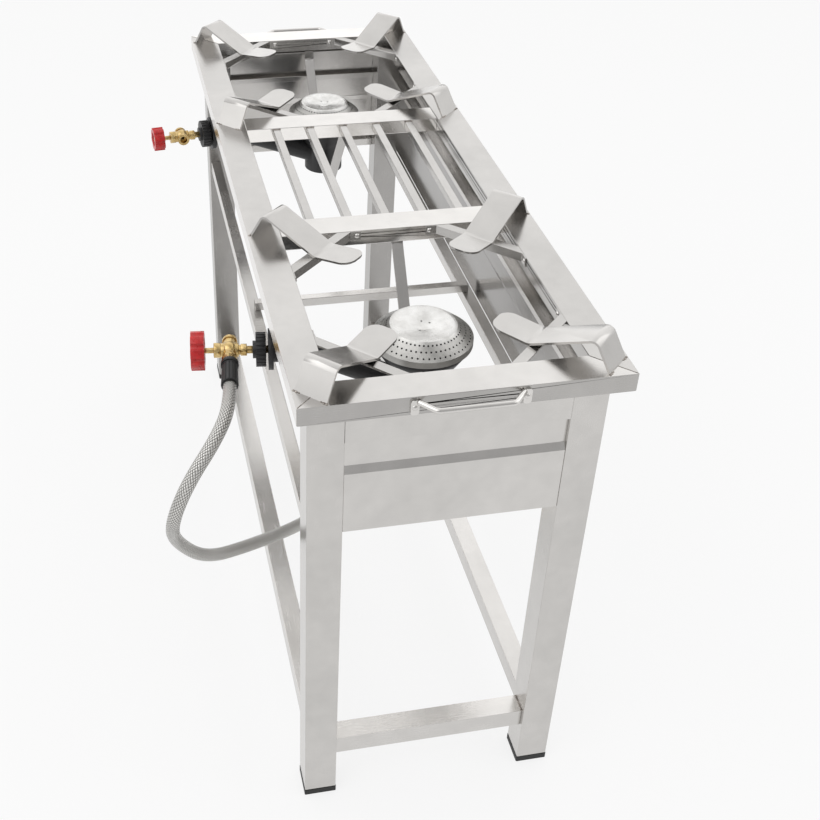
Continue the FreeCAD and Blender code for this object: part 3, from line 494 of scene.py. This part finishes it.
def tube_along(name, path, radius, sides):
    """Closed mesh tube along a path, with UVs of turns round it and metres along it."""
    mesh = bmesh.new()
    layer = mesh.loops.layers.uv.new("UVMap")
    rings = []
    travelled = [0.0]
    side = (path[1] - path[0]).orthogonal().normalized()
    for i, point in enumerate(path):
        ahead = (path[min(i + 1, len(path) - 1)] - path[max(i - 1, 0)]).normalized()
        side = (side - ahead * side.dot(ahead)).normalized()
        across = ahead.cross(side)
        if i:
            travelled.append(travelled[-1] + (point - path[i - 1]).length)
        ring = []
        for k in range(sides):
            angle = 2 * math.pi * k / sides
            ring.append(mesh.verts.new(point + radius * (side * math.cos(angle) + across * math.sin(angle))))
        rings.append(ring)
    for i in range(len(rings) - 1):
        for k in range(sides):
            after = (k + 1) % sides
            face = mesh.faces.new((rings[i][k], rings[i][after], rings[i + 1][after], rings[i + 1][k]))
            face.smooth = True
            corners = ((k, i), (k + 1, i), (k + 1, i + 1), (k, i + 1))
            for loop, (turn, step) in zip(face.loops, corners):
                loop[layer].uv = (turn / sides, travelled[step])
    mesh.faces.new(reversed(rings[0]))
    mesh.faces.new(rings[-1])
    return add_piece(name, mesh)


def add_piece(name, mesh):
    """Object made from a bmesh, linked to the scene."""
    mesh.normal_update()
    data = bpy.data.meshes.new(name)
    mesh.to_mesh(data)
    mesh.free()
    piece = bpy.data.objects.new(name, data)
    bpy.context.scene.collection.objects.link(piece)
    return piece


def add_hose():
    """Braided hose along the route, in place of the plain tube."""
    route = hose_route()
    path = smooth_line(route)
    hose = tube_along("braided_hose", path, HOSE_DIAMETER / 2, HOSE_SIDES)
    hose.data.materials.append(BRAID)
    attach(hose, ROOT)
    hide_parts("gas_hose")


# Weld beads

def bead_row(mesh, start, end, flatten, radius=BEAD_RADIUS, step=BEAD_STEP):
    """Row of small overlapping beads from one point to another, flattened along an axis."""
    run = end - start
    count = max(2, int(run.length / step))
    for i in range(count + 1):
        middle = start + run * (i / count)
        scale = [1.0, 1.0, 1.0]
        scale[flatten] = BEAD_HEIGHT_SHARE
        wobble = 1 + BEAD_WOBBLE * math.sin(i * 2.4)
        matrix = Matrix.Translation(middle) @ Matrix.Diagonal((*[s * wobble for s in scale], 1))
        bmesh.ops.create_icosphere(mesh, subdivisions=2, radius=radius, matrix=matrix)


def weld_object(name, rows, *sizes):
    """Piece made of bead rows, each (start, end, flatten axis), with the bead's radius and step."""
    mesh = bmesh.new()
    for start, end, flatten in rows:
        bead_row(mesh, Vector(start), Vector(end), flatten, *sizes)
    for face in mesh.faces:
        face.smooth = True
    piece = add_piece(name, mesh)
    piece.data.materials.append(WELD)
    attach(piece, ROOT)


def support_weld_rows():
    """Short beads at both ends of each pot support's foot, on top of the rail."""
    rows = []
    for end in ("near", "far"):
        for i in range(1, 5):
            vertices = [v.co for v in nodes["pot_support_%s_%d" % (end, i)].data.vertices]
            foot = [co for co in vertices if co.z < TOP + 0.0005]
            middle = sum(foot, Vector()) / len(foot)
            tips = sorted(foot, key=lambda co: (co - middle).length)[-4:]
            first = tips[0]
            last = max(tips, key=lambda co: (co - first).length)
            along = (last - first).normalized()
            for tip, sign in ((first, 1), (last, -1)):
                rows.append((tip - along * sign * 0.0005, tip + along * sign * SUPPORT_WELD_LENGTH, 2))
    return rows


def stretcher_weld_rows():
    """Beads along the top edge where each stretcher meets a leg."""
    rows = []
    for name in ("stretcher_near", "stretcher_front", "stretcher_back"):
        low, high = (Vector(corner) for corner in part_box(name))
        long_axis = longest_axis(name)
        short_axis = 1 - long_axis
        for end in (low, high):
            start = Vector((0, 0, high.z))
            start[long_axis] = end[long_axis]
            start[short_axis] = low[short_axis] + WELD_INSET
            stop = start.copy()
            stop[short_axis] = high[short_axis] - WELD_INSET
            rows.append((start, stop, 2))
    return rows


def seam_rows():
    """Ground mitre welds on the four corners of the top frame."""
    low, high = (Vector(corner) for corner in cad_frame())
    rail = high.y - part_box("cross_member_near")[1][1]
    rows = []
    for x, inward_x in ((low.x, 1), (high.x, -1)):
        for y, inward_y in ((low.y, 1), (high.y, -1)):
            corner = Vector((x, y, TOP))
            inward = Vector((inward_x, inward_y, 0))
            rows.append((corner + inward * WELD_INSET, corner + inward * (rail - SEAM_INNER_INSET), 2))
    return rows


def cad_frame():
    """Lowest and highest corner of the top frame's four rails."""
    corners = [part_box("top_rail_" + side) for side in ("near", "far", "front", "back")]
    return ([min(low[i] for low, high in corners) for i in range(3)],
            [max(high[i] for low, high in corners) for i in range(3)])


def bar_weld_rows():
    """Short beads where each end of each grill bar meets a cross-member's lip."""
    vertices = [v.co for v in nodes["grill_bars"].data.vertices]
    low, high = (Vector(corner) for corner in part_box("grill_bars"))
    edges = sorted({round(v.y, 4) for v in vertices if abs(v.z - high.z) < 0.0001})
    rows = []
    for x in (low.x, high.x):
        for first, last in zip(edges[::2], edges[1::2]):
            rows.append(((x, first + WELD_INSET / 2, high.z), (x, last - WELD_INSET / 2, high.z), 2))
    return rows


# Studio

def mixed_floor():
    """White floor: shows as the white background, with the object's shadow kept faint."""
    material = bpy.data.materials.new("studio_floor")
    material.use_nodes = True
    tree = material.node_tree
    tree.nodes.clear()
    output = add(material, "ShaderNodeOutputMaterial")
    diffuse = add(material, "ShaderNodeBsdfDiffuse")
    diffuse.inputs["Color"].default_value = (FLOOR_SHADE, FLOOR_SHADE, FLOOR_SHADE, 1)
    glow = add(material, "ShaderNodeEmission")
    glow.inputs["Color"].default_value = (1, 1, 1, 1)
    glow.inputs["Strength"].default_value = 1.0
    rays = add(material, "ShaderNodeLightPath")
    seen = maths(material, "MAXIMUM", rays.outputs["Is Camera Ray"], rays.outputs["Is Glossy Ray"])
    seen = maths(material, "MAXIMUM", seen, rays.outputs["Is Transmission Ray"])
    share = maths(material, "MULTIPLY", seen, FLOOR_WHITE_SHARE)
    mix = add(material, "ShaderNodeMixShader")
    wire(material, share, mix.inputs["Fac"])
    wire(material, diffuse.outputs["BSDF"], mix.inputs[1])
    wire(material, glow.outputs["Emission"], mix.inputs[2])
    wire(material, mix.outputs["Shader"], output.inputs["Surface"])
    return material


def add_floor():
    """Wide level floor under the feet."""
    mesh = bmesh.new()
    bmesh.ops.create_grid(mesh, x_segments=1, y_segments=1, size=FLOOR_HALF_SIZE)
    floor = add_piece("studio_floor", mesh)
    floor.data.materials.append(mixed_floor())


def add_world():
    """Soft room: brightest above the far end, dimmer behind the viewer, with faint patches."""
    world = bpy.data.worlds.new("studio")
    bpy.context.scene.world = world
    world.use_nodes = True
    background = world.node_tree.nodes["Background"]
    coordinates = add(world, "ShaderNodeTexCoord")
    split = add(world, "ShaderNodeSeparateXYZ")
    wire(world, coordinates.outputs["Generated"], split.inputs["Vector"])
    slant = spread(world, split.outputs["X"], ROOM_FAR_END, ROOM_NEAR_END, -ROOM_SLANT_REACH,
                   ROOM_SLANT_REACH)
    patches = spread(world, noise(world, coordinates.outputs["Generated"], 2.2, 2.0), -ROOM_PATCHES,
                     ROOM_PATCHES)
    wire(world, maths(world, "ADD", slant, patches), background.inputs["Strength"])
    background.inputs["Color"].default_value = (1, 1, 1, 1)


def add_lamp(name, location, target, size, power):
    """Soft square lamp that points at a target."""
    data = bpy.data.lights.new(name, "AREA")
    data.size = size
    data.energy = power
    lamp = bpy.data.objects.new(name, data)
    lamp.location = location
    lamp.rotation_euler = (Vector(target) - Vector(location)).to_track_quat("-Z", "Y").to_euler()
    bpy.context.scene.collection.objects.link(lamp)


def add_camera():
    """Camera at the photograph's viewpoint: place from the middle of the top, then three angles."""
    focal_pixels = 1231.0
    frame_pixels = 820.0
    centre_x, centre_y = 345.0, 380.0
    yaw, pitch, roll = 2.927, -0.6185, 0.02608
    forward = Vector((math.cos(pitch) * math.cos(yaw), math.cos(pitch) * math.sin(yaw), math.sin(pitch)))
    level = forward.cross(Vector((0, 0, 1))).normalized()
    above = level.cross(forward)
    right = level * math.cos(roll) + above * math.sin(roll)
    up = above * math.cos(roll) - level * math.sin(roll)
    data = bpy.data.cameras.new("camera")
    data.sensor_width = 36.0
    data.lens = data.sensor_width * focal_pixels / frame_pixels
    data.shift_x = (frame_pixels / 2 - centre_x) / frame_pixels
    data.shift_y = (centre_y - frame_pixels / 2) / frame_pixels
    data.clip_end = 100.0
    camera = bpy.data.objects.new("camera", data)
    camera.rotation_mode = "QUATERNION"
    camera.rotation_quaternion = Matrix((right, up, -forward)).transposed().to_quaternion()
    camera.location = Vector((1.645, FRAME_Y - 0.3779, TOP + 0.8065))
    bpy.context.scene.collection.objects.link(camera)
    bpy.context.scene.camera = camera


def main():
    finish_nodes()
    add_hose()
    weld_object("support_welds", support_weld_rows())
    weld_object("stretcher_welds", stretcher_weld_rows())
    weld_object("bar_welds", bar_weld_rows())
    weld_object("mitre_seams", seam_rows(), SEAM_RADIUS, SEAM_STEP)
    add_floor()
    add_world()
    middle = (0, FRAME_Y, TOP * LIT_HEIGHT_SHARE)
    add_lamp("key", KEY_PLACE, middle, KEY_SIZE, KEY_POWER)
    add_lamp("fill", FILL_PLACE, middle, FILL_SIZE, FILL_POWER)
    add_camera()
    bpy.context.scene.view_settings.view_transform = "Standard"


main()
